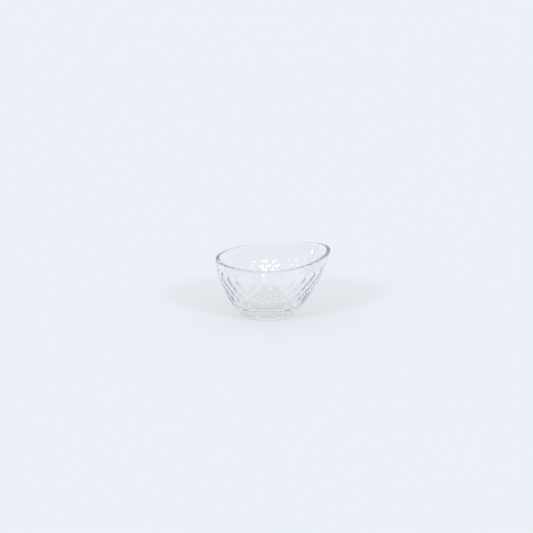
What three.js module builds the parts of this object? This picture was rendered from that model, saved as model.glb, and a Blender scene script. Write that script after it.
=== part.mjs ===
// A small clear glass bowl, pressed in one piece. A low round foot carries a wall that swells outwards on
// one arc. The wall leans towards one side, where the rim sweeps up into a raised lip.
// The outside is plain. A lattice of shallow diamond-shaped hollows covers the inside of the wall, below a
// plain band under the rim, and fades out towards the plain floor.
//
// Millimetres, +Z up, +X towards the raised lip. The origin lies on the table, under the middle of the
// bowl's outline.

import * as THREE from "three";

// Foot
const FOOT_RADIUS = 27.5; // outside of the glass at the top of the foot, where the wall starts
const FOOT_EDGE_ROUND = 0.7; // radius of the edge between the underside and the foot's side
const FOOT_SIDE_HEIGHT = 0.8; // upright side of the foot
const FOOT_FILLET_RISE = 0.8; // height of the hollow round between the foot's side and the wall
const FOOT_RING_WIDTH = 5; // flat ring that the bowl stands on
const RECESS_DEPTH = 1; // hollow of the underside, inside the ring
const RECESS_SLOPE_WIDTH = 2.5; // sloped step between the ring and the hollow

// Wall and rim
const RIM_RADIUS = 55.6; // outside of the wall at the low side of the rim
const LOW_RIM_HEIGHT = 57.7; // table to the top of the rim at its low side
const LIP_RISE = 9.2; // height of the lip above the low side of the rim
const LIP_SHARPNESS = 7; // exponent of the rise: a larger one gathers it closer to the lip
const WALL_BULGE = 4.7; // how far the wall's arc stands out from a straight line from foot to rim
const LEAN = 4.5; // how far the low rim has moved towards the lip, against the foot
const LEAN_CURVE = 1.5; // exponent of the lean: 1 is a straight slant, a larger one leans more near the rim
const WALL_AT_RIM = 3.8; // glass thickness at the rim
const RIM_ROUND_HEIGHT = 1; // height of the flattened half round along the rim
const WALL_AT_FOOT = 5; // glass thickness at the bottom of the wall
const FLOOR_HEIGHT = 5.7; // table to the inner floor
const FLOOR_BLEND = 12; // height over which the inner wall turns into the floor

// Lattice of hollows
const CELLS_AROUND = 26; // hollows in one row round the wall
const CELL_ROWS = 4; // rows of hollows, each shifted by half a hollow against the next
const ROW_GROWTH = 1.03; // each half row is taller than the one beneath it by this factor
const TOP_CELL_DEPTH = 1; // glass missing at the middle of a hollow at the lattice's upper edge
const BOTTOM_CELL_DEPTH = 0.05; // the same at its lower edge, where the hollows fade out
const LATTICE_FOOT_GAP = 18; // plain glass between the foot and the lattice, along the wall
const LATTICE_RIM_GAP = 8; // plain glass between the lattice and the rim, along the wall

// Fineness of the surface
const COLUMNS_PER_CELL = 4;
const ROWS_PER_HALF_CELL = 2;
const FOOT_EDGE_ROWS = 3;
const FILLET_ROWS = 3;
const OUTER_WALL_ROWS = 12;
const RIM_ROWS = 16;
const PLAIN_BAND_ROWS = 3;
const INNER_CORNER_ROWS = 6;
const INNER_FLOOR_ROWS = 3;

const COLUMNS = CELLS_AROUND * COLUMNS_PER_CELL;
const HALF_ROWS = CELL_ROWS + 1;

// The wall's arc in the plane of radius and height: it runs from the foot to the low side of the rim
// and bulges outwards and down from the chord between them.
const footHeight = FOOT_EDGE_ROUND + FOOT_SIDE_HEIGHT + FOOT_FILLET_RISE;
const chordRun = RIM_RADIUS - FOOT_RADIUS;
const chordRise = LOW_RIM_HEIGHT - footHeight;
const chord = Math.hypot(chordRun, chordRise);
const arcRadius = (chord * chord) / (8 * WALL_BULGE) + WALL_BULGE / 2;
const chordToCentre = arcRadius - WALL_BULGE;
const arcCentreRadius = (FOOT_RADIUS + RIM_RADIUS) / 2 - (chordToCentre * chordRise) / chord;
const arcCentreHeight = (footHeight + LOW_RIM_HEIGHT) / 2 + (chordToCentre * chordRun) / chord;
const footAngle = Math.asin((footHeight - arcCentreHeight) / arcRadius);
const wallLength = arcRadius * (angleAtRim(Math.PI) - footAngle);

// The lattice's edges as shares of the wall's length
const latticeBottom = LATTICE_FOOT_GAP / wallLength;
const latticeTop = 1 - LATTICE_RIM_GAP / wallLength;

// Height of the rim's top at one azimuth, measured from the lip
function rimHeight(azimuth) {
  return LOW_RIM_HEIGHT + LIP_RISE * Math.abs(Math.cos(azimuth / 2)) ** LIP_SHARPNESS;
}

// Angle on the wall's arc where the round of the rim begins
function angleAtRim(azimuth) {
  const roundCentreHeight = rimHeight(azimuth) - RIM_ROUND_HEIGHT;
  return Math.asin((roundCentreHeight - arcCentreHeight) / (arcRadius - WALL_AT_RIM / 2));
}

// A point of the wall: `along` is 0 at the foot and 1 at the rim, `inset` is the depth below the outside
function wallPoint(azimuth, along, inset) {
  const angle = THREE.MathUtils.lerp(footAngle, angleAtRim(azimuth), along);
  const reach = arcRadius - inset;
  return {
    radius: arcCentreRadius + reach * Math.cos(angle),
    height: arcCentreHeight + reach * Math.sin(angle),
  };
}

// Turns radius, height and azimuth into a point of the leaning bowl
function leaningPoint(radius, height, azimuth) {
  const shift = LEAN * (height / LOW_RIM_HEIGHT) ** LEAN_CURVE;
  return new THREE.Vector3(radius * Math.cos(azimuth) + shift, radius * Math.sin(azimuth), height);
}

// Depth of the hollows at lattice coordinates: `across` counts half hollows round the wall, `up` counts
// half rows from the lattice's lower edge. Each hollow is a shallow dish cut off by its neighbours. The
// rows stand shifted against each other, counted from the top one.
function hollowDepth(across, up) {
  const middleRow = Math.round(up);
  const firstRow = Math.max(middleRow - 1, 1);
  const lastRow = Math.min(middleRow + 1, CELL_ROWS);
  let dish = 0;
  for (let row = firstRow; row <= lastRow; row += 1) {
    const shift = CELL_ROWS - row;
    const column = 2 * Math.round((across - shift) / 2) + shift;
    dish = Math.max(dish, 1 - (across - column) ** 2 - (up - row) ** 2);
  }
  return dish * THREE.MathUtils.lerp(BOTTOM_CELL_DEPTH, TOP_CELL_DEPTH, latticeShare(up));
}

// Share of the lattice's height that lies below the half row `up`
function latticeShare(up) {
  return (ROW_GROWTH ** up - 1) / (ROW_GROWTH ** HALF_ROWS - 1);
}

// One ring of points, from a function that gives radius and height at each azimuth
function ring(pointAt) {
  const points = [];
  for (let column = 0; column < COLUMNS; column += 1) {
    const azimuth = (2 * Math.PI * column) / COLUMNS;
    const { radius, height } = pointAt(azimuth, column);
    points.push(leaningPoint(radius, height, azimuth));
  }
  return points;
}

// Hollow, flat ring and foot: a rounded edge, an upright side and the hollow round that leads to the wall
function foot() {
  const filletRadius = FOOT_FILLET_RISE / Math.sin(-footAngle);
  const filletStart = FOOT_EDGE_ROUND + FOOT_SIDE_HEIGHT;
  const sideRadius = FOOT_RADIUS - filletRadius * (1 - Math.cos(footAngle));
  const ringOutside = sideRadius - FOOT_EDGE_ROUND;
  const ringInside = ringOutside - FOOT_RING_WIDTH;
  const section = [
    { radius: ringInside - RECESS_SLOPE_WIDTH, height: RECESS_DEPTH },
    { radius: ringInside, height: 0 },
    { radius: ringOutside, height: 0 },
  ];
  for (let row = 1; row <= FOOT_EDGE_ROWS; row += 1) {
    const angle = (Math.PI / 2) * (row / FOOT_EDGE_ROWS - 1);
    section.push({
      radius: ringOutside + FOOT_EDGE_ROUND * Math.cos(angle),
      height: FOOT_EDGE_ROUND * (1 + Math.sin(angle)),
    });
  }
  for (let row = 0; row <= FILLET_ROWS; row += 1) {
    const angle = Math.PI + (footAngle * row) / FILLET_ROWS;
    section.push({
      radius: sideRadius + filletRadius * (1 + Math.cos(angle)),
      height: filletStart + filletRadius * Math.sin(angle),
    });
  }
  return section.map((point) => ring(() => point));
}

function outerWall() {
  const rings = [];
  for (let row = 1; row <= OUTER_WALL_ROWS; row += 1) {
    rings.push(ring((azimuth) => wallPoint(azimuth, row / OUTER_WALL_ROWS, 0)));
  }
  return rings;
}

// The rim is a flattened half round from the outside of the wall to the inside
function rimRound() {
  const halfThickness = WALL_AT_RIM / 2;
  const rings = [];
  for (let row = 1; row < RIM_ROWS; row += 1) {
    const turn = (Math.PI * row) / RIM_ROWS;
    const outward = halfThickness * Math.cos(turn);
    const upward = RIM_ROUND_HEIGHT * Math.sin(turn);
    rings.push(
      ring((azimuth) => {
        const centre = wallPoint(azimuth, 1, halfThickness);
        const lean = angleAtRim(azimuth);
        return {
          radius: centre.radius + outward * Math.cos(lean) - upward * Math.sin(lean),
          height: centre.height + outward * Math.sin(lean) + upward * Math.cos(lean),
        };
      }),
    );
  }
  return rings;
}

// Larger of two heights with a round transition between them
function blendedHeight(wallHeight) {
  const overlap = Math.max(FLOOR_BLEND - Math.abs(wallHeight - FLOOR_HEIGHT), 0) / FLOOR_BLEND;
  return Math.max(wallHeight, FLOOR_HEIGHT) + (overlap * overlap * FLOOR_BLEND) / 4;
}

// One ring of the inside, with the glass thinned by a depth at each column
function innerRing(along, depthAt) {
  const thickness = THREE.MathUtils.lerp(WALL_AT_FOOT, WALL_AT_RIM, along);
  return ring((azimuth, column) => {
    const { radius, height } = wallPoint(azimuth, along, thickness - depthAt(column));
    return { radius, height: blendedHeight(height) };
  });
}

function plainBand() {
  const rings = [];
  for (let row = 0; row < PLAIN_BAND_ROWS; row += 1) {
    const along = THREE.MathUtils.lerp(1, latticeTop, row / PLAIN_BAND_ROWS);
    rings.push(innerRing(along, () => 0));
  }
  return rings;
}

function lattice() {
  const rings = [];
  const latticeRows = HALF_ROWS * ROWS_PER_HALF_CELL;
  for (let row = latticeRows; row >= 0; row -= 1) {
    const up = row / ROWS_PER_HALF_CELL;
    const along = THREE.MathUtils.lerp(latticeBottom, latticeTop, latticeShare(up));
    rings.push(innerRing(along, (column) => hollowDepth((2 * column) / COLUMNS_PER_CELL, up)));
  }
  return rings;
}

// The wall turns into the floor, which dips a little towards its middle
function innerFloor() {
  const rings = [];
  for (let row = 1; row <= INNER_CORNER_ROWS; row += 1) {
    rings.push(innerRing(latticeBottom * (1 - row / INNER_CORNER_ROWS), () => 0));
  }
  const edge = wallPoint(Math.PI, 0, WALL_AT_FOOT);
  const edgeHeight = blendedHeight(edge.height);
  for (let row = 1; row <= INNER_FLOOR_ROWS; row += 1) {
    const share = 1 - row / (INNER_FLOOR_ROWS + 1);
    const height = THREE.MathUtils.lerp(FLOOR_HEIGHT, edgeHeight, share * share);
    rings.push(ring(() => ({ radius: edge.radius * share, height })));
  }
  return rings;
}

// Joins rings into one closed skin, with a fan of triangles over the middle of the first and last ring.
// The diagonals alternate, counted from the lattice's first ring, so that the ridges between the hollows
// run along triangle edges.
function closedSkin(rings, latticeRing, firstMiddle, lastMiddle) {
  const positions = [];
  const index = [];
  for (const points of rings) {
    for (const point of points) positions.push(point.x, point.y, point.z);
  }
  const firstPole = rings.length * COLUMNS;
  const lastPole = firstPole + 1;
  positions.push(firstMiddle.x, firstMiddle.y, firstMiddle.z);
  positions.push(lastMiddle.x, lastMiddle.y, lastMiddle.z);
  const lastRing = (rings.length - 1) * COLUMNS;
  for (let column = 0; column < COLUMNS; column += 1) {
    const next = (column + 1) % COLUMNS;
    index.push(firstPole, next, column);
    index.push(lastPole, lastRing + column, lastRing + next);
    for (let row = 0; row < rings.length - 1; row += 1) {
      const a = row * COLUMNS + column;
      const b = row * COLUMNS + next;
      const c = a + COLUMNS;
      const d = b + COLUMNS;
      if ((row + latticeRing + column) % 2 === 0) index.push(a, b, d, a, d, c);
      else index.push(a, b, c, b, d, c);
    }
  }
  const geometry = new THREE.BufferGeometry();
  geometry.setAttribute("position", new THREE.Float32BufferAttribute(positions, 3));
  geometry.setIndex(index);
  geometry.computeVertexNormals();
  return geometry;
}

const ringsAboveLattice = [...foot(), ...outerWall(), ...rimRound(), ...plainBand()];
const geometry = closedSkin(
  [...ringsAboveLattice, ...lattice(), ...innerFloor()],
  ringsAboveLattice.length,
  new THREE.Vector3(0, 0, RECESS_DEPTH),
  new THREE.Vector3(0, 0, FLOOR_HEIGHT),
);

// The origin goes from the middle of the foot to the middle of the bowl's outline
geometry.computeBoundingBox();
const outline = geometry.boundingBox.getCenter(new THREE.Vector3());
geometry.translate(-outline.x, -outline.y, 0);

const clearGlass = new THREE.MeshStandardMaterial({
  color: 0xe6edf1,
  roughness: 0.06,
  metalness: 0,
  transparent: true,
  opacity: 0.4,
});
const bowl = new THREE.Mesh(geometry, clearGlass);
bowl.name = "bowl";

const group = new THREE.Group();
group.name = "glass_bowl";
group.add(bowl);

export default group;
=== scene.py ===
# A small clear glass bowl with a raised lip, standing on a pale table in soft light.
# Metres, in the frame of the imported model: +Z up, +X towards the lip, the table at height 0.

import math

import bpy
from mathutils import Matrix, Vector


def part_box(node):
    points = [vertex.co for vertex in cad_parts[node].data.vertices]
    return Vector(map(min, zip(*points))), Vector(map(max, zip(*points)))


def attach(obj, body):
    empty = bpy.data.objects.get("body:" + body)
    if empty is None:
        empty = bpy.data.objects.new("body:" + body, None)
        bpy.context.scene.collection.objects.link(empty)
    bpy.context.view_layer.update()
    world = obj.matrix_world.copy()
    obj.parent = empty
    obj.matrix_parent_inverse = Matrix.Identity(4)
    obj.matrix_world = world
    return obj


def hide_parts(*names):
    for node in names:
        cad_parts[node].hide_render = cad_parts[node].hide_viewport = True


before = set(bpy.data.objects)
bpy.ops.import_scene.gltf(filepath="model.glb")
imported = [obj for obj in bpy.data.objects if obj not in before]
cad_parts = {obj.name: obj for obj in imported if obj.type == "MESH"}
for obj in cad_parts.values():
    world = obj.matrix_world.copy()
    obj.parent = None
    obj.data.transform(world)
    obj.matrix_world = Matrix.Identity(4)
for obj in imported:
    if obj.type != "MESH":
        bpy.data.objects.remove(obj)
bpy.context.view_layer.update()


# Bowl
# One piece of clear glass, pressed from a single gob in a mould: foot, wall, rim and raised lip are one
# body. The outside is plain. The plunger leaves a lattice of shallow diamond-shaped hollows inside, which
# fade out towards the foot.
FOOT_RADIUS = 0.0275
FOOT_EDGE_ROUND = 0.0007
FOOT_SIDE_HEIGHT = 0.0008
FOOT_FILLET_RISE = 0.0008
FOOT_RING_WIDTH = 0.005
RECESS_DEPTH = 0.001
RECESS_SLOPE_WIDTH = 0.0025
RIM_RADIUS = 0.0556
LOW_RIM_HEIGHT = 0.0577
LIP_RISE = 0.0092
LIP_SHARPNESS = 7
WALL_BULGE = 0.0047
LEAN = 0.0045
LEAN_CURVE = 1.5
WALL_AT_RIM = 0.0038
RIM_ROUND_HEIGHT = 0.001
WALL_AT_FOOT = 0.005
FLOOR_HEIGHT = 0.0057
FLOOR_BLEND = 0.012
CELLS_AROUND = 26
CELL_ROWS = 4
ROW_GROWTH = 1.03
TOP_CELL_DEPTH = 0.001
BOTTOM_CELL_DEPTH = 0.00005
LATTICE_FOOT_GAP = 0.018
LATTICE_RIM_GAP = 0.008

# The wall's arc in the plane of radius and height, from the foot to the low side of the rim
foot_height = FOOT_EDGE_ROUND + FOOT_SIDE_HEIGHT + FOOT_FILLET_RISE
chord_run = RIM_RADIUS - FOOT_RADIUS
chord_rise = LOW_RIM_HEIGHT - foot_height
chord = math.hypot(chord_run, chord_rise)
arc_radius = chord * chord / (8 * WALL_BULGE) + WALL_BULGE / 2
chord_to_centre = arc_radius - WALL_BULGE
arc_centre_radius = (FOOT_RADIUS + RIM_RADIUS) / 2 - chord_to_centre * chord_rise / chord
arc_centre_height = (foot_height + LOW_RIM_HEIGHT) / 2 + chord_to_centre * chord_run / chord
foot_angle = math.asin((foot_height - arc_centre_height) / arc_radius)


def mix(start, end, share):
    return start + (end - start) * share


def angle_at_rim(azimuth):
    """Angle on the wall's arc where the round of the rim begins; the rim is highest at the lip."""
    rim_height = LOW_RIM_HEIGHT + LIP_RISE * abs(math.cos(azimuth / 2)) ** LIP_SHARPNESS
    return math.asin((rim_height - RIM_ROUND_HEIGHT - arc_centre_height) / (arc_radius - WALL_AT_RIM / 2))


low_rim_angle = angle_at_rim(math.pi)
wall_length = arc_radius * (low_rim_angle - foot_angle)
lattice_bottom = LATTICE_FOOT_GAP / wall_length
lattice_top = 1 - LATTICE_RIM_GAP / wall_length
half_rows = CELL_ROWS + 1
lattice_growth = ROW_GROWTH**half_rows - 1


def round_points(centre, radius, start_angle, end_angle, steps):
    """Points of a circular arc as radius and height, without its first point."""
    points = []
    for step in range(1, steps + 1):
        angle = mix(start_angle, end_angle, step / steps)
        points.append((centre[0] + radius * math.cos(angle), centre[1] + radius * math.sin(angle)))
    return points


def inner_point(along):
    """A point of the inside, before hollows: 1 is at the rim, 0 where the wall has become the floor."""
    angle = mix(foot_angle, low_rim_angle, along)
    reach = arc_radius - mix(WALL_AT_FOOT, WALL_AT_RIM, along)
    height = arc_centre_height + reach * math.sin(angle)
    overlap = max(FLOOR_BLEND - abs(height - FLOOR_HEIGHT), 0) / FLOOR_BLEND
    height = max(height, FLOOR_HEIGHT) + overlap * overlap * FLOOR_BLEND / 4
    return arc_centre_radius + reach * math.cos(angle), height


# Half of the section, from the middle of the underside round the rim to the middle of the floor
fillet_radius = FOOT_FILLET_RISE / math.sin(-foot_angle)
foot_side = FOOT_RADIUS - fillet_radius * (1 - math.cos(foot_angle))
ring_outside = foot_side - FOOT_EDGE_ROUND
ring_inside = ring_outside - FOOT_RING_WIDTH
recess_outside = ring_inside - RECESS_SLOPE_WIDTH
section = [(0, RECESS_DEPTH)]
RECESS_ROWS = 4
for row in range(1, RECESS_ROWS + 1):
    section.append((recess_outside * row / RECESS_ROWS, RECESS_DEPTH))
SLOPE_ROWS = 8
for row in range(1, SLOPE_ROWS + 1):
    share = row / SLOPE_ROWS
    fall = (1 + math.cos(math.pi * share)) / 2
    section.append((mix(recess_outside, ring_inside, share), RECESS_DEPTH * fall))
section.append((ring_outside, 0))
FOOT_EDGE_ROWS = 8
foot_edge_centre = (ring_outside, FOOT_EDGE_ROUND)
section += round_points(foot_edge_centre, FOOT_EDGE_ROUND, -math.pi / 2, 0, FOOT_EDGE_ROWS)
FILLET_ROWS = 8
fillet_centre = (foot_side + fillet_radius, FOOT_EDGE_ROUND + FOOT_SIDE_HEIGHT)
section.append((foot_side, fillet_centre[1]))
section += round_points(fillet_centre, fillet_radius, math.pi, math.pi + foot_angle, FILLET_ROWS)
OUTER_WALL_ROWS = 40
arc_centre = (arc_centre_radius, arc_centre_height)
section += round_points(arc_centre, arc_radius, foot_angle, low_rim_angle, OUTER_WALL_ROWS)
RIM_ROWS = 16
rim_reach = arc_radius - WALL_AT_RIM / 2
rim_centre = (
    arc_centre_radius + rim_reach * math.cos(low_rim_angle),
    arc_centre_height + rim_reach * math.sin(low_rim_angle),
)
for row in range(1, RIM_ROWS + 1):
    turn = math.pi * row / RIM_ROWS
    outward = WALL_AT_RIM / 2 * math.cos(turn)
    upward = RIM_ROUND_HEIGHT * math.sin(turn)
    section.append(
        (
            rim_centre[0] + outward * math.cos(low_rim_angle) - upward * math.sin(low_rim_angle),
            rim_centre[1] + outward * math.sin(low_rim_angle) + upward * math.cos(low_rim_angle),
        )
    )
PLAIN_BAND_ROWS = 8
for row in range(1, PLAIN_BAND_ROWS + 1):
    section.append(inner_point(mix(1, lattice_top, row / PLAIN_BAND_ROWS)))
ROWS_PER_HALF_CELL = 10
for row in range(half_rows * ROWS_PER_HALF_CELL - 1, -1, -1):
    lattice_share = (ROW_GROWTH ** (row / ROWS_PER_HALF_CELL) - 1) / lattice_growth
    section.append(inner_point(mix(lattice_bottom, lattice_top, lattice_share)))
CORNER_ROWS = 16
for row in range(1, CORNER_ROWS + 1):
    section.append(inner_point(lattice_bottom * (1 - row / CORNER_ROWS)))
FLOOR_ROWS = 10
floor_edge = section[-1]
for row in range(1, FLOOR_ROWS + 1):
    share = 1 - row / FLOOR_ROWS
    section.append((floor_edge[0] * share, mix(FLOOR_HEIGHT, floor_edge[1], share * share)))

# The section is drawn point by point and turned once round
COLUMNS_PER_CELL = 14
SAME_POINT = 1e-6
bpy.ops.object.select_all(action="DESELECT")
bpy.ops.mesh.primitive_plane_add(size=FOOT_RADIUS, location=(0, 0, 0))
bowl = bpy.context.object
bowl.name = "pressed_bowl"
bpy.ops.object.mode_set(mode="EDIT")
bpy.ops.mesh.select_all(action="SELECT")
bpy.ops.mesh.merge(type="CENTER")
bpy.ops.transform.translate(value=(section[0][0], 0, section[0][1]))
for start, end in zip(section, section[1:]):
    step = (end[0] - start[0], 0, end[1] - start[1])
    bpy.ops.mesh.extrude_vertices_move(TRANSFORM_OT_translate={"value": step})
bpy.ops.object.mode_set(mode="OBJECT")
turning = bowl.modifiers.new("turn_section", "SCREW")
turning.steps = CELLS_AROUND * COLUMNS_PER_CELL
turning.render_steps = turning.steps
bpy.ops.object.modifier_apply(modifier=turning.name)
bpy.ops.object.mode_set(mode="EDIT")
bpy.ops.mesh.select_all(action="SELECT")
bpy.ops.mesh.remove_doubles(threshold=SAME_POINT)
bpy.ops.mesh.normals_make_consistent(inside=False)
bpy.ops.object.mode_set(mode="OBJECT")


def wall_place(point):
    """Share of the way from foot to rim, and distance from the arc's centre, at a point of the glass."""
    run = math.hypot(point.x, point.y) - arc_centre_radius
    rise = point.z - arc_centre_height
    along = (math.atan2(rise, run) - foot_angle) / (low_rim_angle - foot_angle)
    return min(max(along, 0), 1), math.hypot(run, rise)


def hollow_share(across, up):
    """Depth of the hollows as a share of the deepest; both counts are in half hollows."""
    deepest = 0
    middle_row = round(up)
    for row in range(max(middle_row - 1, 1), min(middle_row + 1, CELL_ROWS) + 1):
        stagger = CELL_ROWS - row
        column = 2 * round((across - stagger) / 2) + stagger
        deepest = max(deepest, 1 - (across - column) ** 2 - (up - row) ** 2)
    return deepest


# The hollows: a weight on the points of the inner wall says how deep the plunger presses each one
hollows = bowl.vertex_groups.new(name="hollows")
for vertex in bowl.data.vertices:
    along, reach = wall_place(vertex.co)
    on_inside = reach < arc_radius - WALL_AT_RIM / 2
    if on_inside and lattice_bottom < along < lattice_top:
        lattice_share = (along - lattice_bottom) / (lattice_top - lattice_bottom)
        up = math.log(1 + lattice_share * lattice_growth) / math.log(ROW_GROWTH)
        across = math.atan2(vertex.co.y, vertex.co.x) * CELLS_AROUND / math.pi
        fading = mix(BOTTOM_CELL_DEPTH / TOP_CELL_DEPTH, 1, lattice_share)
        hollows.add([vertex.index], fading * hollow_share(across, up), "REPLACE")
press = bowl.modifiers.new("press_hollows", "DISPLACE")
press.direction = "NORMAL"
press.mid_level = 0
press.strength = -TOP_CELL_DEPTH
press.vertex_group = hollows.name
bpy.ops.object.modifier_apply(modifier=press.name)

# The lip: the wall is drawn further along its own arc where the rim is high, then leans towards the lip
for vertex in bowl.data.vertices:
    azimuth = math.atan2(vertex.co.y, vertex.co.x)
    along, reach = wall_place(vertex.co)
    run = math.hypot(vertex.co.x, vertex.co.y) - arc_centre_radius
    angle = math.atan2(vertex.co.z - arc_centre_height, run)
    angle += along * (angle_at_rim(azimuth) - low_rim_angle)
    radius = arc_centre_radius + reach * math.cos(angle)
    height = max(arc_centre_height + reach * math.sin(angle), 0)
    vertex.co.x = radius * math.cos(azimuth) + LEAN * (height / LOW_RIM_HEIGHT) ** LEAN_CURVE
    vertex.co.y = radius * math.sin(azimuth)
    vertex.co.z = height

# The foot stands off the middle of the outline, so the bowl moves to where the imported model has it
foot_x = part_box("bowl")[0].x - min(vertex.co.x for vertex in bowl.data.vertices)
for vertex in bowl.data.vertices:
    vertex.co.x += foot_x
bpy.ops.object.shade_smooth()

# Clear soda-lime glass with a faint lilac cast. The surface is a little wavy from the mould, and the ring
# that it stands on is scuffed.
GLASS_IOR = 1.5
LILAC_CAST = (0.5, 0.45, 0.62, 1)
CAST_DENSITY = 1.7
WAVE_SCALE = 55
WAVE_STRENGTH = 0.05
WAVE_HEIGHT = 0.0004
SCUFF_SCALE = 900
SCUFF_DETAIL = 3
SCUFF_TOP = 0.0004
SCUFF_ROUGHNESS = 0.35
glass = bpy.data.materials.new("clear_pressed_glass")
glass.use_nodes = True
glass_nodes = glass.node_tree.nodes
glass_links = glass.node_tree.links
shader = glass_nodes["Principled BSDF"]
shader.inputs["Base Color"].default_value = (1, 1, 1, 1)
shader.inputs["Transmission Weight"].default_value = 1
shader.inputs["IOR"].default_value = GLASS_IOR
place = glass_nodes.new("ShaderNodeTexCoord")
waves = glass_nodes.new("ShaderNodeTexNoise")
waves.inputs["Scale"].default_value = WAVE_SCALE
waves.inputs["Detail"].default_value = 1
glass_links.new(place.outputs["Object"], waves.inputs["Vector"])
wavy = glass_nodes.new("ShaderNodeBump")
wavy.inputs["Strength"].default_value = WAVE_STRENGTH
wavy.inputs["Distance"].default_value = WAVE_HEIGHT
glass_links.new(waves.outputs["Fac"], wavy.inputs["Height"])
glass_links.new(wavy.outputs["Normal"], shader.inputs["Normal"])
scuffs = glass_nodes.new("ShaderNodeTexNoise")
scuffs.inputs["Scale"].default_value = SCUFF_SCALE
scuffs.inputs["Detail"].default_value = SCUFF_DETAIL
glass_links.new(place.outputs["Object"], scuffs.inputs["Vector"])
split = glass_nodes.new("ShaderNodeSeparateXYZ")
glass_links.new(place.outputs["Object"], split.inputs["Vector"])
standing = glass_nodes.new("ShaderNodeMapRange")
standing.inputs["From Min"].default_value = SCUFF_TOP
standing.inputs["From Max"].default_value = 0
standing.inputs["To Min"].default_value = 0
standing.inputs["To Max"].default_value = SCUFF_ROUGHNESS
glass_links.new(split.outputs["Z"], standing.inputs["Value"])
scuffed = glass_nodes.new("ShaderNodeMath")
scuffed.operation = "MULTIPLY"
glass_links.new(scuffs.outputs["Fac"], scuffed.inputs[0])
glass_links.new(standing.outputs["Result"], scuffed.inputs[1])
glass_links.new(scuffed.outputs["Value"], shader.inputs["Roughness"])
tint = glass_nodes.new("ShaderNodeVolumeAbsorption")
tint.inputs["Color"].default_value = LILAC_CAST
tint.inputs["Density"].default_value = CAST_DENSITY
glass_links.new(tint.outputs["Volume"], glass_nodes["Material Output"].inputs["Volume"])
bowl.data.materials.append(glass)

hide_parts("bowl")
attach(bowl, "root")


# Table
# A wide pale table top, bluish white and without a pattern. The camera sees mostly its plain colour, also
# in the glass, and part of the light that falls on it, so that the bowl's soft shadow stays.
TABLE_WIDTH = 30
LIT_COLOUR = (0.424, 0.479, 0.565, 1)
LIT_ROUGHNESS = 0.9
PLAIN_COLOUR = (0.868, 0.892, 0.908, 1)
PLAIN_SHARE_SEEN = 0.75
PLAIN_SHARE_IN_GLASS = 0.77
bpy.ops.object.select_all(action="DESELECT")
bpy.ops.mesh.primitive_plane_add(size=TABLE_WIDTH, location=(0, 0, 0))
table = bpy.context.object
table.name = "table_top"
table_paint = bpy.data.materials.new("pale_table")
table_paint.use_nodes = True
table_nodes = table_paint.node_tree.nodes
table_links = table_paint.node_tree.links
lit = table_nodes["Principled BSDF"]
lit.inputs["Base Color"].default_value = LIT_COLOUR
lit.inputs["Roughness"].default_value = LIT_ROUGHNESS
lit.inputs["Specular IOR Level"].default_value = 0
plain = table_nodes.new("ShaderNodeEmission")
plain.inputs["Color"].default_value = PLAIN_COLOUR
ray = table_nodes.new("ShaderNodeLightPath")
seen_in_glass = table_nodes.new("ShaderNodeMath")
seen_in_glass.operation = "MAXIMUM"
table_links.new(ray.outputs["Is Glossy Ray"], seen_in_glass.inputs[0])
table_links.new(ray.outputs["Is Transmission Ray"], seen_in_glass.inputs[1])
share_in_glass = table_nodes.new("ShaderNodeMath")
share_in_glass.operation = "MULTIPLY"
share_in_glass.inputs[1].default_value = PLAIN_SHARE_IN_GLASS
table_links.new(seen_in_glass.outputs["Value"], share_in_glass.inputs[0])
plain_share = table_nodes.new("ShaderNodeMath")
plain_share.operation = "MULTIPLY_ADD"
plain_share.inputs[1].default_value = PLAIN_SHARE_SEEN
table_links.new(ray.outputs["Is Camera Ray"], plain_share.inputs[0])
table_links.new(share_in_glass.outputs["Value"], plain_share.inputs[2])
table_mix = table_nodes.new("ShaderNodeMixShader")
table_links.new(plain_share.outputs["Value"], table_mix.inputs["Fac"])
table_links.new(lit.outputs["BSDF"], table_mix.inputs[1])
table_links.new(plain.outputs["Emission"], table_mix.inputs[2])
table_links.new(table_mix.outputs["Shader"], table_nodes["Material Output"].inputs["Surface"])
table.data.materials.append(table_paint)


# Light
# A bright pale ceiling over the bowl and behind it, a dimmer room in front and low down, and two soft key
# lamps in front, which cast the shadow. A strip and a few small lamps only show as sparkles in the glass.
ROOM_COLOUR = (0.29, 0.31, 0.37, 1)
CEILING_COLOUR = (0.97, 0.99, 1.02, 1)
CEILING_STARTS_BACK = -0.65
CEILING_FULL_BACK = -0.2
CEILING_STARTS_UP = 0.25
CEILING_FULL_UP = 0.45
world = bpy.data.worlds.new("studio_light")
bpy.context.scene.world = world
world.use_nodes = True
world_nodes = world.node_tree.nodes
world_links = world.node_tree.links
around = world_nodes["Background"]
direction = world_nodes.new("ShaderNodeTexCoord")
axes = world_nodes.new("ShaderNodeSeparateXYZ")
world_links.new(direction.outputs["Generated"], axes.inputs["Vector"])
to_the_back = world_nodes.new("ShaderNodeMapRange")
to_the_back.inputs["From Min"].default_value = CEILING_STARTS_BACK
to_the_back.inputs["From Max"].default_value = CEILING_FULL_BACK
world_links.new(axes.outputs["Y"], to_the_back.inputs["Value"])
high_up = world_nodes.new("ShaderNodeMapRange")
high_up.inputs["From Min"].default_value = CEILING_STARTS_UP
high_up.inputs["From Max"].default_value = CEILING_FULL_UP
world_links.new(axes.outputs["Z"], high_up.inputs["Value"])
ceiling_share = world_nodes.new("ShaderNodeMath")
ceiling_share.operation = "MULTIPLY"
world_links.new(to_the_back.outputs["Result"], ceiling_share.inputs[0])
world_links.new(high_up.outputs["Result"], ceiling_share.inputs[1])
room_to_ceiling = world_nodes.new("ShaderNodeMix")
room_to_ceiling.data_type = "RGBA"
room_to_ceiling.inputs["A"].default_value = ROOM_COLOUR
room_to_ceiling.inputs["B"].default_value = CEILING_COLOUR
world_links.new(ceiling_share.outputs["Value"], room_to_ceiling.inputs["Factor"])
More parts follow.
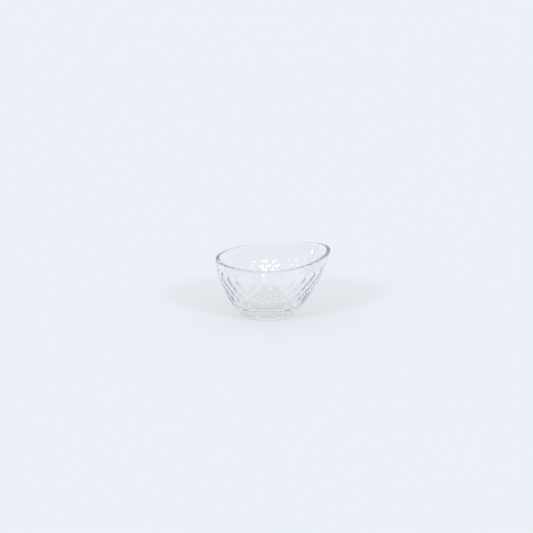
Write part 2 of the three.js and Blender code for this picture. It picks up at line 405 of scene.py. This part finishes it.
world_links.new(room_to_ceiling.outputs["Result"], around.inputs["Color"])

KEY_STRENGTH = 2.8
KEY_SOFTNESS = math.radians(14)
KEY_HEIGHT = math.radians(32)
KEY_TURN = math.radians(40)
for side, name in ((-1, "left"), (1, "right")):
    key_light = bpy.data.lights.new("key_light_" + name, "SUN")
    key_light.energy = KEY_STRENGTH
    key_light.angle = KEY_SOFTNESS
    key = bpy.data.objects.new("key_light_" + name, key_light)
    bpy.context.collection.objects.link(key)
    key.rotation_euler = (math.pi / 2 - KEY_HEIGHT, 0, side * KEY_TURN)
    key.visible_glossy = False
    key.visible_transmission = False
# Each sparkle lamp: turn from the front and height in degrees, width, height and power, and whether it is
# also seen through the glass or only as a reflection
SPARKLE_LAMP_DISTANCE = 1.3
SPARKLE_LAMPS = {
    "wide_strip": (0, 38, 1.1, 0.12, 3, False),
    "short_strip": (12, 37.5, 0.45, 0.1, 0.5, True),
    "front_lamp": (0, 33, 0.1, 0.1, 1.1, False),
    "front_left_lamp": (-14, 36, 0.1, 0.1, 1.1, False),
    "right_lamp": (40, 31, 0.1, 0.1, 0.8, False),
    "left_lamp": (-60, 29, 0.1, 0.1, 0.8, False),
    "back_left_lamp": (-106, 11, 0.1, 0.1, 0.9, False),
}
for name, (turn, rise, width, height, power, seen_through_glass) in SPARKLE_LAMPS.items():
    sparkle_light = bpy.data.lights.new(name, "AREA")
    sparkle_light.shape = "ELLIPSE"
    sparkle_light.size = width
    sparkle_light.size_y = height
    sparkle_light.energy = power
    sparkle = bpy.data.objects.new(name, sparkle_light)
    bpy.context.collection.objects.link(sparkle)
    sparkle.rotation_euler = (math.pi / 2 - math.radians(rise), 0, math.radians(turn))
    sparkle.location = sparkle.rotation_euler.to_matrix() @ Vector((0, 0, SPARKLE_LAMP_DISTANCE))
    sparkle.visible_camera = False
    sparkle.visible_diffuse = False
    sparkle.visible_transmission = seen_through_glass

# A ray crosses many walls of glass before it leaves the bowl
GLASS_BOUNCES = 48
cycles = bpy.context.scene.cycles
cycles.max_bounces = GLASS_BOUNCES
cycles.transmission_bounces = GLASS_BOUNCES
cycles.glossy_bounces = GLASS_BOUNCES
cycles.caustics_refractive = False
cycles.caustics_reflective = False


# Camera
# A long lens a little above the rim. The middle of the foot lies on the pixel where the photograph has it.
IMAGE_SIZE = 533
FOOT_COLUMN = 267.2
FOOT_ROW = 313
PIXELS_PER_METRE = 1000
CAMERA_RISE = math.radians(17.7)
LENS_LENGTH = 85
SENSOR_WIDTH = 36
pixels_of_lens = IMAGE_SIZE * LENS_LENGTH / SENSOR_WIDTH
camera_distance = pixels_of_lens / PIXELS_PER_METRE
view = bpy.data.cameras.new("photo_camera")
view.lens = LENS_LENGTH
view.sensor_width = SENSOR_WIDTH
camera = bpy.data.objects.new("photo_camera", view)
bpy.context.collection.objects.link(camera)
camera.location = (
    foot_x - (FOOT_COLUMN - IMAGE_SIZE / 2) / PIXELS_PER_METRE,
    -camera_distance * math.cos(CAMERA_RISE),
    camera_distance * math.sin(CAMERA_RISE),
)
tilt_above_foot = math.atan((FOOT_ROW - IMAGE_SIZE / 2) / pixels_of_lens)
camera.rotation_euler = (math.pi / 2 - CAMERA_RISE + tilt_above_foot, 0, 0)
bpy.context.scene.camera = camera
bpy.context.scene.view_settings.view_transform = "Standard"
